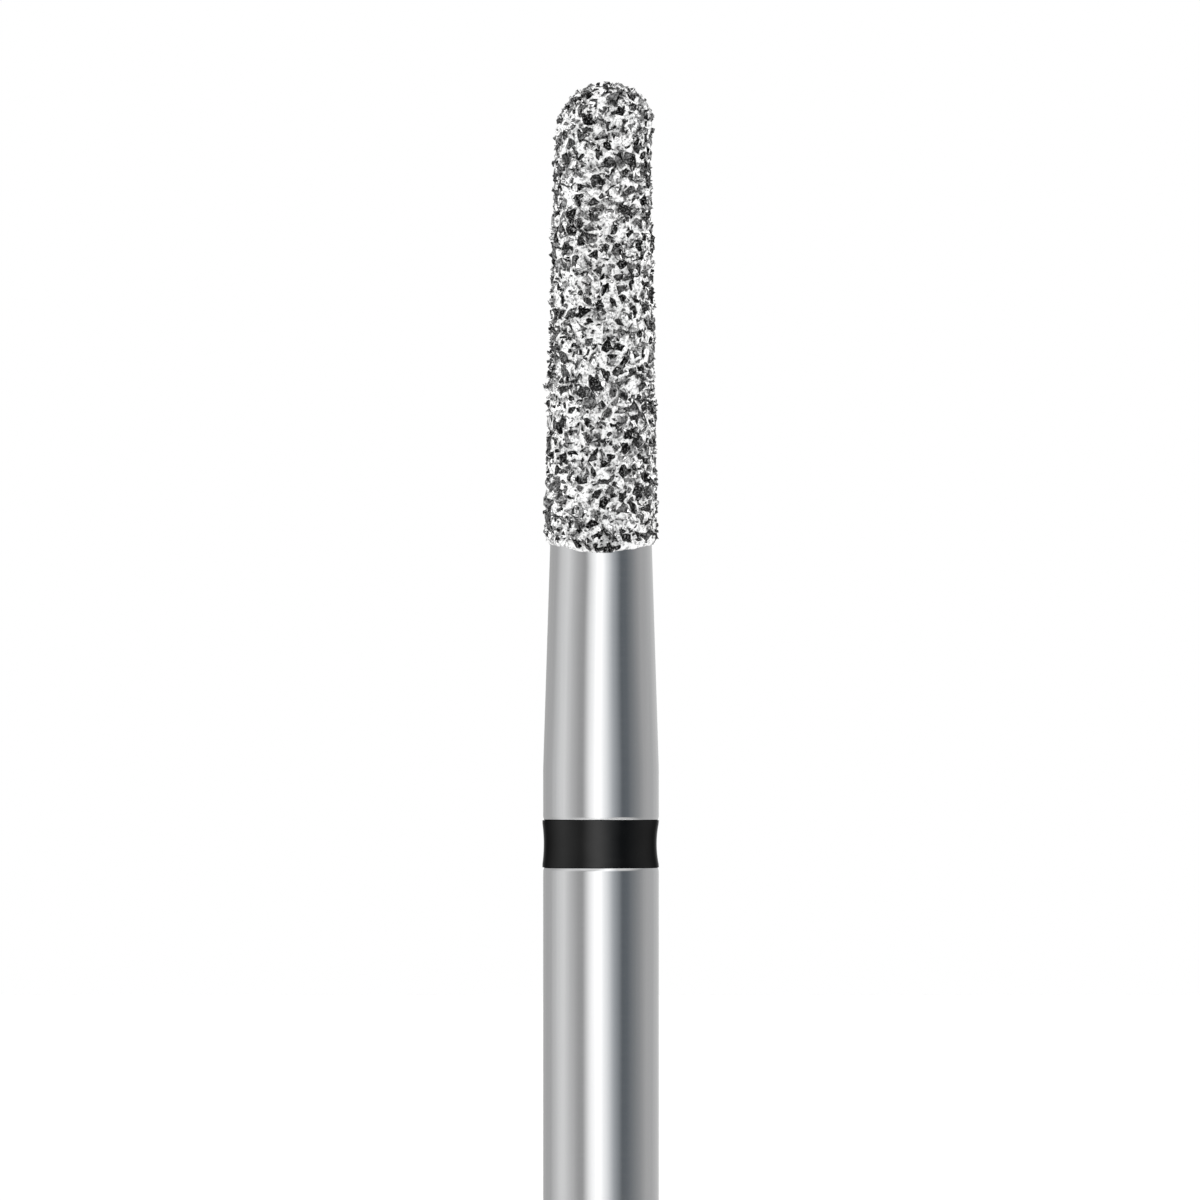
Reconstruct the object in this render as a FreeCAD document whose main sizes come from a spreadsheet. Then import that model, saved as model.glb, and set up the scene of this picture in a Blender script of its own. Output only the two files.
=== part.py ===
# Dental diamond bur with a plain friction-grip shank, in millimetres.
# It is made of four pieces:
#   steel_blank   shank, neck and head core, turned and ground from one rod
#   colour_ring   band of black lacquer in a shallow groove of the shank
#   nickel_bond   plated layer round the head core, which holds the crystals
#   diamond_grit  what stands out of the bond of each coarse diamond crystal
# The origin is the centre of the shank's end face, and +Z runs along the axis to the tip.
import FreeCAD
import Part
import Sketcher
import math
import os
import random
from collections import namedtuple

# name: (value, what it is). Lengths are in millimetres.
SIZES = {
    "overall_length": (21.5, "end of the shank to the top of the grit"),
    "shank_dia": (1.6, "standard friction-grip shank"),
    "end_chamfer": (0.15, "bevel round the shank's free end"),
    "neck_dia": (1.41, "thin end of the neck, where it meets the head"),
    "neck_length": (3.04, "full shank to the head"),
    "ring_gap": (0.72, "neck to the ring's groove"),
    "ring_width": (0.65, "colour ring along the shank"),
    "groove_depth": (0.16, "shank's surface to the groove's floor"),
    "ring_waist": (0.022, "how far the lacquer thins at its middle"),
    "lip_depth": (0.012, "bevel on the groove's two lips, across"),
    "lip_width": (0.05, "bevel on the groove's two lips, along"),
    "head_length": (6.44, "neck to the top of the grit"),
    "head_taper": (1.2, "slope of the head's side, in degrees"),
    "core_inset": (0.06, "shoulder between the neck and the head core"),
    "tip_radius": (0.455, "rounding of the head core's tip"),
    "bond_thickness": (0.1, "nickel over the head core"),
    "bond_edge_radius": (0.045, "rounding of the bond's lower edge"),
    "grit_size": (0.16, "mean width of a crystal at the bond"),
    "grit_spread": (0.04, "how far widths lie above or below the mean"),
    "grit_exposure": (0.07, "how far the tallest crystals stand out of the bond"),
    "grit_gap": (0.012, "least nickel left between two crystals"),
    "grit_cover": (0.62, "share of the bond's skin that the crystals' mean circles would take"),
}

# How the crystals vary. Reach and shift are shares of a crystal's half width, and a slight corner is a
# share of its width squared.
SEED = 544
TRIES_PER_CRYSTAL = 60
SKIN_STEPS = 50
CORNER_COUNTS = (4, 4, 5, 5, 6)
CORNER_JITTER = 0.28
CORNER_REACH = (1.0, 1.6)
LEAST_CORNERS = 4
MOST_CORNERS = 5
SLIGHT_CORNER = 0.09
# A crystal's heights are drawn with the middle of its cut-off facet at 1, then stretched.
APEX_HEIGHT = (1.6, 3.0)
APEX_SHIFT = 0.35
TOP_FALL = 0.65
LEAST_HEIGHT = 0.5

# Ends of an edge in a sketch, as constraints number them.
START, END, CENTRE = range(1, 4)
ORIGIN = (-1, 1)
UP = FreeCAD.Vector(0, 0, 1)
# Heights closer than this are the same height.
LEVEL = 1e-6

# Where a crystal sits: its width, its place on the bond's skin, the outward direction there, and how far
# along the section the place is from the skin's lower edge.
Seat = namedtuple("Seat", "width place outward distance")


def at(x, y):
    return FreeCAD.Vector(x, y, 0)


def line(x1, y1, x2, y2):
    return Part.LineSegment(at(x1, y1), at(x2, y2))


def arc(x, y, radius, start_degrees, end_degrees):
    """An arc that runs anticlockwise in the sketch."""
    circle = Part.Circle(at(x, y), UP, radius)
    return Part.ArcOfCircle(circle, math.radians(start_degrees), math.radians(end_degrees))


def on_arc(x, y, radius, degrees):
    """The point of an arc round (x, y) that lies in a direction."""
    turn = math.radians(degrees)
    return x + radius * math.cos(turn), y + radius * math.sin(turn)


def beside_core(sheet, rise, offset):
    """Radius of a line parallel to the head core's side, offset outward from it, above the head's base."""
    lean = math.radians(sheet.head_taper)
    return evaluate(sheet, CORE_RADIUS) + (offset - rise * math.sin(lean)) / math.cos(lean)


def make_sheet(doc):
    sheet = doc.addObject("Spreadsheet::Sheet", "Sizes")
    for row, (name, (value, meaning)) in enumerate(SIZES.items(), start=1):
        sheet.set(f"A{row}", name)
        sheet.set(f"B{row}", str(value))
        sheet.set(f"C{row}", meaning)
        sheet.setAlias(f"B{row}", name)
    doc.recompute()
    return sheet


def add_body(doc, name):
    body = doc.addObject("PartDesign::Body", name)
    body.Label = name
    return body


def add_section(body, name):
    """A sketch of a half section: across is the radius, up is the axis."""
    sketch = body.newObject("Sketcher::SketchObject", name)
    plane = next(f for f in body.Origin.OriginFeatures if f.Role == "XZ_Plane")
    sketch.AttachmentSupport = [(plane, "")]
    sketch.MapMode = "FlatFace"
    return sketch


def close_outline(sketch, edges, smooth=(), backward=()):
    """Adds edges head to tail as one closed outline.

    Edges in smooth run into the next one without a corner.
    Arcs in backward are followed from end to start."""
    for edge in edges:
        sketch.addGeometry(edge, False)
    for here in range(len(edges)):
        after = (here + 1) % len(edges)
        leave = START if here in backward else END
        enter = END if after in backward else START
        kind = "Tangent" if here in smooth else "Coincident"
        sketch.addConstraint(Sketcher.Constraint(kind, here, leave, after, enter))


def lay(sketch, kind, *edges):
    for edge in edges:
        sketch.addConstraint(Sketcher.Constraint(kind, edge))


def bind(sketch, name, expression, kind, *where):
    """Adds a dimension and drives it from the sheet."""
    value = sketch.evalExpression(expression)
    index = sketch.addConstraint(Sketcher.Constraint(kind, *where, float(value)))
    sketch.renameConstraint(index, name)
    sketch.setExpression(f"Constraints.{name}", expression)


def radius_at(sketch, name, expression, edge, end):
    bind(sketch, name, expression, "DistanceX", *ORIGIN, edge, end)


def height_at(sketch, name, expression, edge, end):
    bind(sketch, name, expression, "DistanceY", *ORIGIN, edge, end)


HEAD_BASE = "Sizes.overall_length - Sizes.head_length"
NECK_BASE = f"{HEAD_BASE} - Sizes.neck_length"
RING_TOP = f"{NECK_BASE} - Sizes.ring_gap"
RING_BASE = f"{RING_TOP} - Sizes.ring_width"
BOND_TOP = "Sizes.overall_length - Sizes.grit_exposure"
CORE_TOP = f"{BOND_TOP} - Sizes.bond_thickness"
SHANK_RADIUS = "Sizes.shank_dia / 2"
NECK_RADIUS = "Sizes.neck_dia / 2"
CORE_RADIUS = f"{NECK_RADIUS} - Sizes.core_inset"
GROOVE_RADIUS = f"{SHANK_RADIUS} - Sizes.groove_depth"
LIP_RADIUS = f"{SHANK_RADIUS} - Sizes.lip_depth"


def evaluate(sheet, expression):
    return float(sheet.evalExpression(expression))


def revolve(body, sketch, name):
    turned = body.newObject("PartDesign::Revolution", name)
    turned.Profile = sketch
    turned.ReferenceAxis = (sketch, ["V_Axis"])
    turned.Angle = 360
    sketch.Visibility = False
    return turned


def make_blank(doc, sheet):
    """Shank, neck and head core in one turned piece. The ring's groove and the end's bevel are cut in it."""
    body = add_body(doc, "steel_blank")
    shank = evaluate(sheet, SHANK_RADIUS)
    neck = evaluate(sheet, NECK_RADIUS)
    core = evaluate(sheet, CORE_RADIUS)
    tip, lean = sheet.tip_radius, sheet.head_taper
    neck_base, head_base, core_top = (evaluate(sheet, e) for e in (NECK_BASE, HEAD_BASE, CORE_TOP))
    flat = beside_core(sheet, core_top - tip - head_base, -tip)

    section = add_section(body, "blank_section")
    end_face, shank_side, neck_side, shoulder, core_side, tip_round, tip_flat, axis = range(8)
    close_outline(
        section,
        [
            line(0, 0, shank, 0),
            line(shank, 0, shank, neck_base),
            line(shank, neck_base, neck, head_base),
            line(neck, head_base, core, head_base),
            line(core, head_base, *on_arc(flat, core_top - tip, tip, lean)),
            arc(flat, core_top - tip, tip, lean, 90),
            line(flat, core_top, 0, core_top),
            line(0, core_top, 0, 0),
        ],
        smooth=[core_side, tip_round],
    )
    section.addConstraint(Sketcher.Constraint("Coincident", end_face, START, *ORIGIN))
    lay(section, "Horizontal", end_face, shoulder, tip_flat)
    lay(section, "Vertical", shank_side, axis)
    radius_at(section, "shank_radius", SHANK_RADIUS, end_face, END)
    radius_at(section, "neck_radius", NECK_RADIUS, neck_side, END)
    radius_at(section, "core_radius", CORE_RADIUS, core_side, START)
    height_at(section, "neck_base", NECK_BASE, neck_side, START)
    height_at(section, "head_base", HEAD_BASE, shoulder, START)
    height_at(section, "core_top", CORE_TOP, tip_flat, END)
    bind(section, "tip_radius", "Sizes.tip_radius", "Radius", tip_round)
    bind(section, "taper", "Sizes.head_taper", "Angle", axis, END, core_side, START)
    revolve(body, section, "turned_blank")

    cutter = add_section(body, "groove_section")
    out = sheet.shank_dia
    lip, floor = evaluate(sheet, LIP_RADIUS), evaluate(sheet, GROOVE_RADIUS)
    low, high = evaluate(sheet, RING_BASE), evaluate(sheet, RING_TOP)
    low_lip, low_wall, groove_floor, high_wall, high_lip, high_edge, outside, low_edge = range(8)
    close_outline(
        cutter,
        [
            line(shank, low - sheet.lip_width, lip, low),
            line(lip, low, floor, low),
            line(floor, low, floor, high),
            line(floor, high, lip, high),
            line(lip, high, shank, high + sheet.lip_width),
            line(shank, high + sheet.lip_width, out, high + sheet.lip_width),
            line(out, high + sheet.lip_width, out, low - sheet.lip_width),
            line(out, low - sheet.lip_width, shank, low - sheet.lip_width),
        ],
    )
    lay(cutter, "Horizontal", low_wall, high_wall, high_edge, low_edge)
    lay(cutter, "Vertical", groove_floor, outside)
    radius_at(cutter, "low_lip", LIP_RADIUS, low_lip, END)
    radius_at(cutter, "high_lip", LIP_RADIUS, high_lip, START)
    radius_at(cutter, "floor", GROOVE_RADIUS, groove_floor, START)
    radius_at(cutter, "low_shank", SHANK_RADIUS, low_lip, START)
    radius_at(cutter, "high_shank", SHANK_RADIUS, high_lip, END)
    radius_at(cutter, "outside", "Sizes.shank_dia", outside, START)
    height_at(cutter, "ring_base", RING_BASE, groove_floor, START)
    height_at(cutter, "ring_top", RING_TOP, groove_floor, END)
    height_at(cutter, "low_bevel", f"{RING_BASE} - Sizes.lip_width", low_lip, START)
    height_at(cutter, "high_bevel", f"{RING_TOP} + Sizes.lip_width", high_lip, END)
    groove = body.newObject("PartDesign::Groove", "ring_groove")
    groove.Profile = cutter
    groove.ReferenceAxis = (cutter, ["V_Axis"])
    groove.Angle = 360
    cutter.Visibility = False
    doc.recompute()

    bevel = body.newObject("PartDesign::Chamfer", "end_bevel")
    bevel.Base = (groove, [edge_at_height(groove.Shape, 0)])
    bevel.setExpression("Size", "Sizes.end_chamfer")
    return body


def edge_at_height(shape, height):
    """Name of the circular edge that lies flat at a height."""
    for number, edge in enumerate(shape.Edges, start=1):
        box = edge.BoundBox
        if abs(box.ZMin - height) < LEVEL and abs(box.ZMax - height) < LEVEL:
            return f"Edge{number}"
    raise ValueError(f"no edge at height {height}")


def make_ring(doc, sheet):
    """Lacquer that fills the groove, flush with the shank at its two rims and thinner between them."""
    body = add_body(doc, "colour_ring")
    section = add_section(body, "ring_section")
    rim, floor = evaluate(sheet, SHANK_RADIUS), evaluate(sheet, GROOVE_RADIUS)
    low, high = evaluate(sheet, RING_BASE), evaluate(sheet, RING_TOP)
    hollow_radius = "(Sizes.ring_width ^ 2 / 4 + Sizes.ring_waist ^ 2) / (2 * Sizes.ring_waist)"
    hollow = evaluate(sheet, hollow_radius)
    half_angle = math.degrees(math.asin(sheet.ring_width / 2 / hollow))
    low_side, waist, high_side, inside = range(4)
    close_outline(
        section,
        [
            line(floor, low, rim, low),
            arc(
                rim - sheet.ring_waist + hollow,
                (low + high) / 2,
                hollow,
                180 - half_angle,
                180 + half_angle,
            ),
            line(rim, high, floor, high),
            line(floor, high, floor, low),
        ],
        backward=[waist],
    )
    lay(section, "Horizontal", low_side, high_side)
    lay(section, "Vertical", inside)
    radius_at(section, "floor", GROOVE_RADIUS, inside, START)
    radius_at(section, "low_rim", SHANK_RADIUS, low_side, END)
    radius_at(section, "high_rim", SHANK_RADIUS, high_side, START)
    height_at(section, "ring_base", RING_BASE, inside, END)
    height_at(section, "ring_top", RING_TOP, inside, START)
    bind(section, "hollow", hollow_radius, "Radius", waist)
    revolve(body, section, "lacquer")
    return body


def make_bond(doc, sheet):
    """Nickel of even thickness over the head core, with its lower edge rounded down to the neck."""
    body = add_body(doc, "nickel_bond")
    section = add_section(body, "bond_section")
    core = evaluate(sheet, CORE_RADIUS)
    tip, thick, edge = sheet.tip_radius, sheet.bond_thickness, sheet.bond_edge_radius
    head_base, core_top, bond_top = (evaluate(sheet, e) for e in (HEAD_BASE, CORE_TOP, BOND_TOP))
    lean = sheet.head_taper
    centre = core_top - tip
    flat = beside_core(sheet, centre - head_base, -tip)
    heel = beside_core(sheet, edge, thick - edge)
    side_foot = on_arc(heel, head_base + edge, edge, lean)
    side_top = on_arc(flat, centre, tip + thick, lean)
    foot, foot_round, skin_side, skin_round, skin_flat, axis, top_flat, top_round, inner_side = range(9)
    close_outline(
        section,
        [
            line(core, head_base, heel, head_base),
            arc(heel, head_base + edge, edge, -90, lean),
            line(*side_foot, *side_top),
            arc(flat, centre, tip + thick, lean, 90),
            line(flat, bond_top, 0, bond_top),
            line(0, bond_top, 0, core_top),
            line(0, core_top, flat, core_top),
            arc(flat, centre, tip, lean, 90),
            line(*on_arc(flat, centre, tip, lean), core, head_base),
        ],
        smooth=[foot, foot_round, skin_side, skin_round, top_flat, top_round],
        backward=[top_round],
    )
    lay(section, "Horizontal", foot, skin_flat, top_flat)
    lay(section, "Vertical", axis)
    section.addConstraint(Sketcher.Constraint("PointOnObject", axis, START, -2))
    section.addConstraint(Sketcher.Constraint("Coincident", skin_round, CENTRE, top_round, CENTRE))
    section.addConstraint(Sketcher.Constraint("Parallel", skin_side, inner_side))
    radius_at(section, "core_radius", CORE_RADIUS, foot, START)
    height_at(section, "head_base", HEAD_BASE, foot, START)
    height_at(section, "core_top", CORE_TOP, top_flat, START)
    height_at(section, "bond_top", BOND_TOP, axis, START)
    bind(section, "tip_radius", "Sizes.tip_radius", "Radius", top_round)
    bind(section, "edge_radius", "Sizes.bond_edge_radius", "Radius", foot_round)
    bind(section, "taper", "Sizes.head_taper", "Angle", axis, END, inner_side, END)
    revolve(body, section, "plated_skin")
    doc.recompute()
    skin = [section.Geometry[i].toShape() for i in (skin_side, skin_round, skin_flat)]
    return body, skin


def seat_on(skin, distance):
    """Radius, height and outward slope of the bond's skin at a distance along its section."""
    for edge in skin:
        if distance <= edge.Length or edge is skin[-1]:
            parameter = edge.getParameterByLength(min(distance, edge.Length))
            point, along = edge.valueAt(parameter), edge.tangentAt(parameter)
            return point.x, point.y, math.atan2(-along.x, along.y)
        distance -= edge.Length


def file_seat(cells, size, seat):
    """Files a seat under the cube of space that it falls in."""
    key = tuple(math.floor(value / size) for value in seat.place)
    cells.setdefault(key, []).append(seat)


def nearby(cells, size, place):
    """The seats in the cube that a place falls in and in the cubes beside it."""
    x, y, z = (math.floor(value / size) for value in place)
    steps = (-1, 0, 1)
    keys = ((x + i, y + j, z + k) for i in steps for j in steps for k in steps)
    return [seat for key in keys for seat in cells.get(key, ())]


def random_seat(chance, skin, width, reach, widest_radius):
    """A seat anywhere on the skin, or None, so that wide rings of it get more seats than narrow ones."""
    distance = chance.uniform(width / 2, reach)
    radius, height, lean = seat_on(skin, distance)
    if chance.uniform(0, widest_radius) > radius:
        return None
    turn = chance.uniform(0, 2 * math.pi)
    level = at(math.cos(turn), math.sin(turn))
    return Seat(width, level * radius + UP * height, level * math.cos(lean) + UP * math.sin(lean), distance)


def is_free(seat, others):
    return all(seat.place.distanceToPoint(o.place) > (seat.width + o.width) / 2 for o in others)


def scatter(chance, sheet, skin):
    """Seats for the crystals, so that no two of their circles meet.

    The first is on the tip, and the widest come before the narrower ones."""
    widest = sheet.grit_size + sheet.grit_spread
    reach = sum(edge.Length for edge in skin)
    radii = [seat_on(skin, reach * step / SKIN_STEPS)[0] for step in range(SKIN_STEPS + 1)]
    area = 2 * math.pi * reach * sum(radii) / len(radii)
    count = round(sheet.grit_cover * area / (math.pi * (sheet.grit_size / 2) ** 2))
    widths = [chance.uniform(sheet.grit_size - sheet.grit_spread, widest) for _ in range(count)]
    seats = [Seat(widest, UP * skin[-1].Vertexes[-1].Point.y, UP, reach)]
    cells = {}
    file_seat(cells, widest, seats[0])
    for width in sorted(widths, reverse=True):
        for _ in range(TRIES_PER_CRYSTAL):
            seat = random_seat(chance, skin, width, reach, max(radii))
            if seat and is_free(seat, nearby(cells, widest, seat.place)):
                seats.append(seat)
                file_seat(cells, widest, seat)
                break
    return seats


def clip(corners, across, limit):
    """The part of a flat outline that reaches no further than the limit in the direction across."""
    kept = []
    for before, corner in zip(corners[-1:] + corners[:-1], corners):
        past, over = before.dot(across) - limit, corner.dot(across) - limit
        if (past > 0) != (over > 0):
            kept.append(before + (corner - before) * (past / (past - over)))
        if over <= 0:
            kept.append(corner)
    return kept


def drop_corners(corners, slight):
    """Drops the corner that takes least area with it, until none is slight and few enough are left."""
    corners = list(corners)
    while len(corners) > LEAST_CORNERS:
        following = corners[1:] + corners[:1]
        losses = [
            abs((corner - corners[i - 1]).cross(following[i] - corner).z) / 2
            for i, corner in enumerate(corners)
        ]
        if len(corners) <= MOST_CORNERS and min(losses) > slight:
            break
        corners.pop(losses.index(min(losses)))
    return corners


def footprint(chance, seat, frame, others, gap):
    """Outline of a crystal's foot in its own plane: an uneven polygon, held back from its neighbours' ones.

    Two neighbours share the space between them in proportion to their widths."""
    count = chance.choice(CORNER_COUNTS)
    corners = []
    for corner in range(count):
        turn = 2 * math.pi * (corner + chance.uniform(-CORNER_JITTER, CORNER_JITTER)) / count
        reach = seat.width / 2 * chance.uniform(*CORNER_REACH)
        corners.append(at(math.cos(turn), math.sin(turn)) * reach)
    for other in others:
        if other is not seat:
            chord = other.place - seat.place
            share = seat.width / (seat.width + other.width)
            limit = share * chord.Length - gap / 2
            corners = clip(corners, frame.inverted().multVec(chord), limit * chord.Length)
    corners = clip(corners, frame.inverted().multVec(-UP), seat.distance)
    return drop_corners(corners, SLIGHT_CORNER * seat.width**2)


def crystal(chance, base, height):
    """The exposed part of one crystal: an uneven pyramid on its foot, cut off by a sloping facet."""
    centre = sum(base, FreeCAD.Vector()) * (1 / len(base))
    reach = max((corner - centre).Length for corner in base)
    turn, shift = chance.uniform(0, 2 * math.pi), chance.uniform(0, APEX_SHIFT) * reach
    apex = centre + at(math.cos(turn) * shift, math.sin(turn) * shift) + UP * chance.uniform(*APEX_HEIGHT)
    turn, fall = chance.uniform(0, 2 * math.pi), chance.uniform(0, TOP_FALL) / reach
    facet = at(math.cos(turn) * fall, math.sin(turn) * fall) + UP
    level = 1 + facet.dot(centre)
    edges = [apex - corner for corner in base]
    top = [c + edge * ((level - c.dot(facet)) / edge.dot(facet)) for c, edge in zip(base, edges)]
    rise = height / max(corner.z for corner in top)
    top = [corner.scale(1, 1, rise) for corner in top]
    sides = [[base[i - 1], base[i], top[i], top[i - 1]] for i in range(len(base))]
    outlines = [base, top, *sides]
    return Part.Solid(Part.Shell([Part.Face(Part.makePolygon([*o, o[0]])) for o in outlines]))


def make_grit(doc, sheet, skin):
    """Every crystal sits on the bond's skin with its foot square to it. The one on the tip is tallest."""
    chance = random.Random(SEED)
    seats = scatter(chance, sheet, skin)
    span = (sheet.grit_size + sheet.grit_spread) * CORNER_REACH[1]
    cells = {}
    for seat in seats:
        file_seat(cells, span, seat)
    crystals = []
    for seat in seats:
        spin = FreeCAD.Rotation(UP, chance.uniform(0, 360))
        frame = FreeCAD.Rotation(UP, seat.outward).multiply(spin)
        base = footprint(chance, seat, frame, nearby(cells, span, seat.place), sheet.grit_gap)
        share = chance.uniform(LEAST_HEIGHT, 1) if crystals else 1
        solid = crystal(chance, base, share * sheet.grit_exposure)
        solid.Placement = FreeCAD.Placement(seat.place, frame)
        crystals.append(solid)
    grit = doc.addObject("Part::Feature", "diamond_grit")
    grit.Label = "diamond_grit"
    grit.Shape = Part.makeCompound(crystals)
    return grit


def check(doc, pieces):
    """Stops before anything is written if an object failed or a piece isn't sound."""
    for thing in doc.Objects:
        if {"Invalid", "Error"} & set(thing.State):
            raise RuntimeError(f"{thing.Label} failed: {thing.State}")
    for piece in pieces:
        if piece.Shape.isNull() or not piece.Shape.isValid():
            raise RuntimeError(f"{piece.Label} has no valid shape")


def main():
    doc = FreeCAD.newDocument("dental_bur")
    sheet = make_sheet(doc)
    blank = make_blank(doc, sheet)
    ring = make_ring(doc, sheet)
    bond, skin = make_bond(doc, sheet)
    grit = make_grit(doc, sheet, skin)
    doc.recompute()
    pieces = [blank, ring, bond, grit]
    check(doc, pieces)
    os.makedirs("parts", exist_ok=True)
    for piece in pieces:
        piece.Shape.exportStep(f"parts/{piece.Label}.step")
        print(piece.Label, len(piece.Shape.Solids), "solids", round(piece.Shape.Volume, 4), "mm3")


main()
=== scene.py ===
"""Looks of the dental bur. Sizes are in millimetres, as in the part's source, and MM makes them metres."""

import bmesh
import bpy
import math
import random
import numpy as np
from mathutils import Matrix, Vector, kdtree


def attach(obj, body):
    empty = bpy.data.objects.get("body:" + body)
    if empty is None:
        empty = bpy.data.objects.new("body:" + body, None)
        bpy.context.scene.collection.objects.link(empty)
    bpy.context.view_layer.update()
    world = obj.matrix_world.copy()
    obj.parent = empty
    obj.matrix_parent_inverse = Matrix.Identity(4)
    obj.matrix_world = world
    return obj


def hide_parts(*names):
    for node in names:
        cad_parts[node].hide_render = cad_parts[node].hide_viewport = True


MM = 0.001
SEED = 7

# Heights of the levels along the axis, from the shank's free end.
GROOVE_LOW = 10.65
GROOVE_HIGH = 11.3
NECK_LOW = 12.02
HEAD_LOW = 15.06
# The neck runs up inside the plating to here, so that no groove shows where the plating ends higher.
NECK_TOP = 15.13
TIP_CENTRE = 20.875
CORE_TOP = 21.33

SHANK_RADIUS = 0.8
NECK_RADIUS = 0.705
GROOVE_RADIUS = 0.64
LIP_RADIUS = 0.788
LIP_WIDTH = 0.05
END_CHAMFER = 0.15
CORE_RADIUS = 0.645
TIP_RADIUS = 0.455
BOND_THICKNESS = 0.1
HEAD_TAPER = math.radians(1.2)

# The nickel's skin in section, from its lower edge: a straight side, a round shoulder and a flat at the tip.
TIP_FLAT = CORE_RADIUS - (TIP_RADIUS + (TIP_CENTRE - HEAD_LOW) * math.sin(HEAD_TAPER)) / math.cos(HEAD_TAPER)
SKIN_FOOT = CORE_RADIUS + BOND_THICKNESS / math.cos(HEAD_TAPER)
SHOULDER_RADIUS = TIP_RADIUS + BOND_THICKNESS
SIDE_LENGTH = (TIP_CENTRE - HEAD_LOW) / math.cos(HEAD_TAPER)
SHOULDER_LENGTH = SHOULDER_RADIUS * (math.pi / 2 - HEAD_TAPER)
SECTION_LENGTH = SIDE_LENGTH + SHOULDER_LENGTH + TIP_FLAT

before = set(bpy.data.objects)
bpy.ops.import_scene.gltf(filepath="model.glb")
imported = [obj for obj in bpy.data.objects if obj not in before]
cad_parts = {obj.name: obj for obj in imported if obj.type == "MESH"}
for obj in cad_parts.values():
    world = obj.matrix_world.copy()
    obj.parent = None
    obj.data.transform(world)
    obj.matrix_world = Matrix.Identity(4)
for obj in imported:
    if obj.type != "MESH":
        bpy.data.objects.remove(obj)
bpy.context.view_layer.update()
scene = bpy.context.scene
chance = random.Random(SEED)


# Shapes

def add_mesh(name, vertices, faces, smooth_angle=None):
    """A new object from vertices in millimetres."""
    mesh = bpy.data.meshes.new(name)
    mesh.from_pydata([tuple(c * MM for c in v) for v in vertices], [], faces)
    mesh.validate()
    if smooth_angle is not None:
        mesh.shade_smooth()
        mesh.set_sharp_from_angle(angle=math.radians(smooth_angle))
    made = bpy.data.objects.new(name, mesh)
    scene.collection.objects.link(made)
    return made


def turned(rows, closed=False):
    """Vertices and faces of a turned surface. rows is a list of rings of points. A ring may be one point.

    A closed surface runs from the last ring on to the first."""
    segments = max(len(row) for row in rows)
    vertices = []
    faces = []
    starts = []
    for row in rows:
        starts.append((len(vertices), len(row)))
        vertices.extend(row)
    pairs = list(zip(starts, starts[1:]))
    if closed:
        pairs.append((starts[-1], starts[0]))
    for (low, low_count), (high, high_count) in pairs:
        for i in range(segments):
            j = (i + 1) % segments
            if low_count == 1:
                faces.append((low, high + j, high + i))
            elif high_count == 1:
                faces.append((low + i, low + j, high))
            else:
                faces.append((low + i, low + j, high + j, high + i))
    return vertices, faces


def ring_of_points(radius, height, segments):
    if radius == 0:
        return [(0, 0, height)]
    turns = (2 * math.pi * i / segments for i in range(segments))
    return [(radius * math.cos(t), radius * math.sin(t), height) for t in turns]


def rounded(profile, steps=5):
    """Corners of a half section, given as (radius, height, rounding), with each rounding drawn as an arc."""
    points = []
    for i, (x, y, rounding) in enumerate(profile):
        if not rounding:
            points.append((x, y))
            continue
        here = Vector((x, y))
        before = (Vector(profile[i - 1][:2]) - here).normalized()
        after = (Vector(profile[i + 1][:2]) - here).normalized()
        half = before.angle(after) / 2
        middle = here + (before + after).normalized() * (rounding / math.sin(half))
        first = here + before * (rounding / math.tan(half)) - middle
        last = here + after * (rounding / math.tan(half)) - middle
        for step in range(steps + 1):
            spoke = first.lerp(last, step / steps).normalized() * rounding
            points.append(tuple(middle + spoke))
    return points


def divided(points, longest):
    """The same half section with its long runs divided, so that bump and light follow it evenly."""
    result = []
    for (x0, y0), (x1, y1) in zip(points, points[1:]):
        count = max(1, math.ceil(math.hypot(x1 - x0, y1 - y0) / longest))
        result.extend((x0 + (x1 - x0) * k / count, y0 + (y1 - y0) * k / count) for k in range(count))
    result.append(points[-1])
    return result


# Shank, neck and band

AROUND = 256
TIP_STEPS = 8
LONGEST_RUN = 0.25
# Roundings of the steel's corners. The neck leaves the shank in a long bend.
BEVEL_ROUNDING = 0.03
EDGE_ROUNDING = 0.05
LIP_ROUNDING = 0.014
NECK_ROUNDING = 4

RING_STEPS = 14
# How far the lacquer's rims stand proud of the shank, and how far its middle lies in from them. Each is its
# mean round the shank and what is added on the side of +X.
RIM_RISE = (0.0115, -0.0045)
WAIST = (0.031, 0.006)
# The rims are rounded down by this much over this width.
RIM_DROP = 0.006
RIM_WIDTH = 0.02


def core_profile():
    """The head core's side and tip, from its base to the axis."""
    centre = Vector((TIP_FLAT, TIP_CENTRE))
    points = []
    for step in range(TIP_STEPS + 1):
        turn = HEAD_TAPER + (math.pi / 2 - HEAD_TAPER) * step / TIP_STEPS
        spoke = Vector((math.cos(turn), math.sin(turn))) * TIP_RADIUS
        points.append(tuple(centre + spoke))
    return [(CORE_RADIUS, HEAD_LOW)] + points + [(0, CORE_TOP)]


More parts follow.
